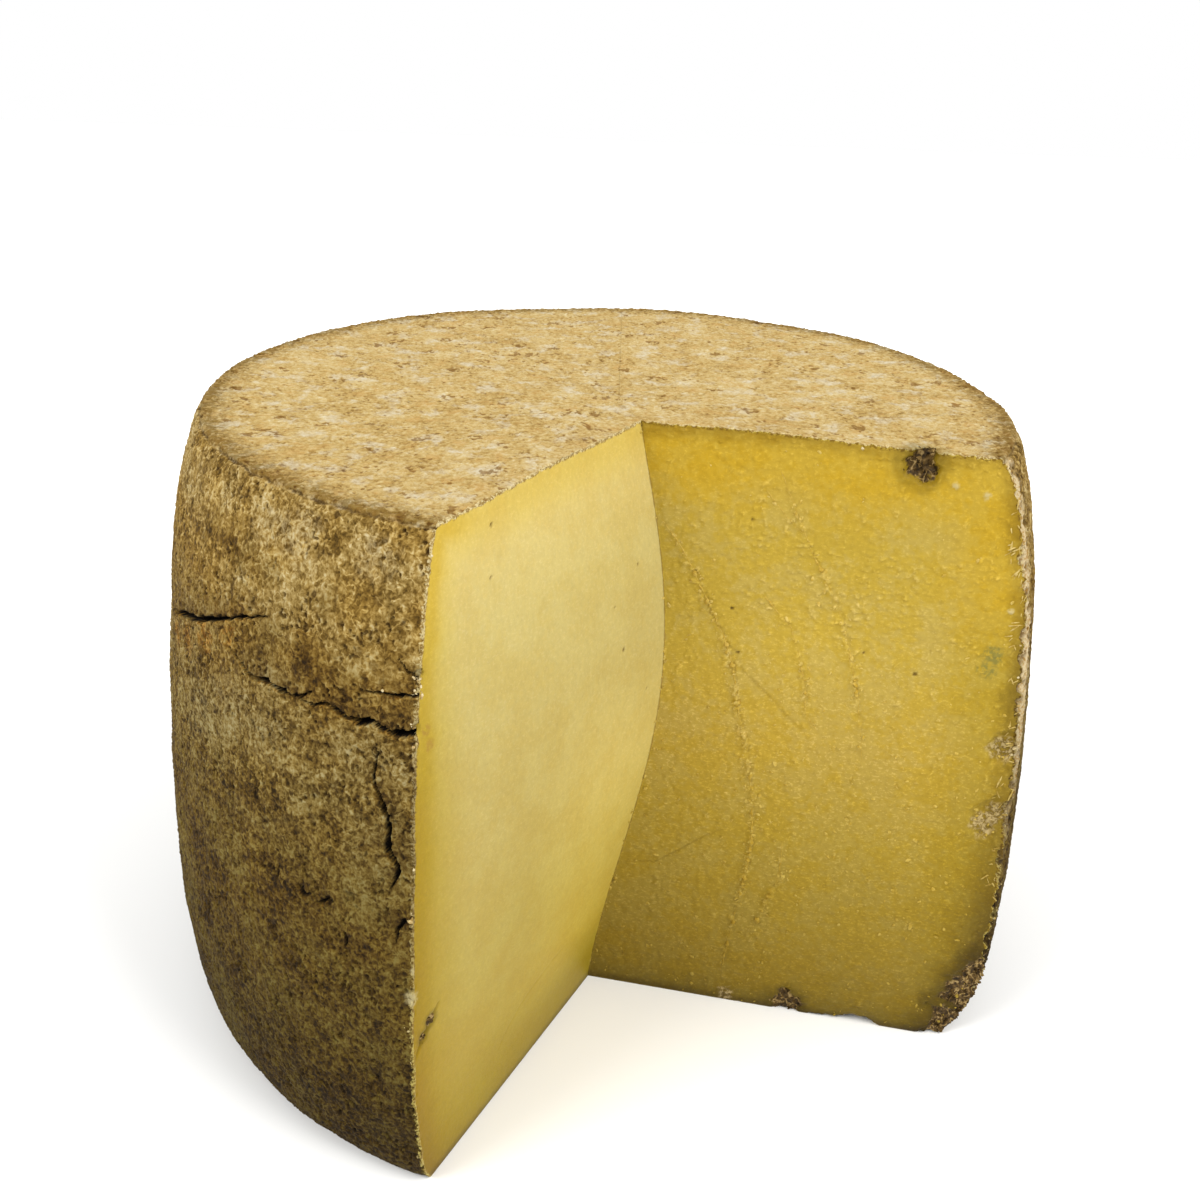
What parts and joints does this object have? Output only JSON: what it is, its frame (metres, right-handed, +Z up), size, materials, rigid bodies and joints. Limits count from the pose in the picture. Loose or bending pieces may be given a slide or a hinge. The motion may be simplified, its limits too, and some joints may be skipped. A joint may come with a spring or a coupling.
{
  "type": "cheese wheel",
  "caption": "Large pressed cheese wheel with a cracked natural rind and one sector cut out, showing its yellow paste; it stands on its flat base.",
  "frame": {"origin": "on the wheel's axis, at the level of its flat base", "axes": "+Z up along the wheel's axis; the cut-out sector opens towards -Y and +X"},
  "size_m": [0.4278, 0.4166, 0.3],
  "materials": {
    "rind": "dry, mottled brown natural rind, pitted and cracked",
    "paste": "fresh cut cheese paste, smooth and faintly moist",
    "mould": "dark crumbly mould in hollows of the cut edge"
  },
  "bodies": {
    "root": {"cheese_wheel": "rind"}
  },
  "joints": []
}
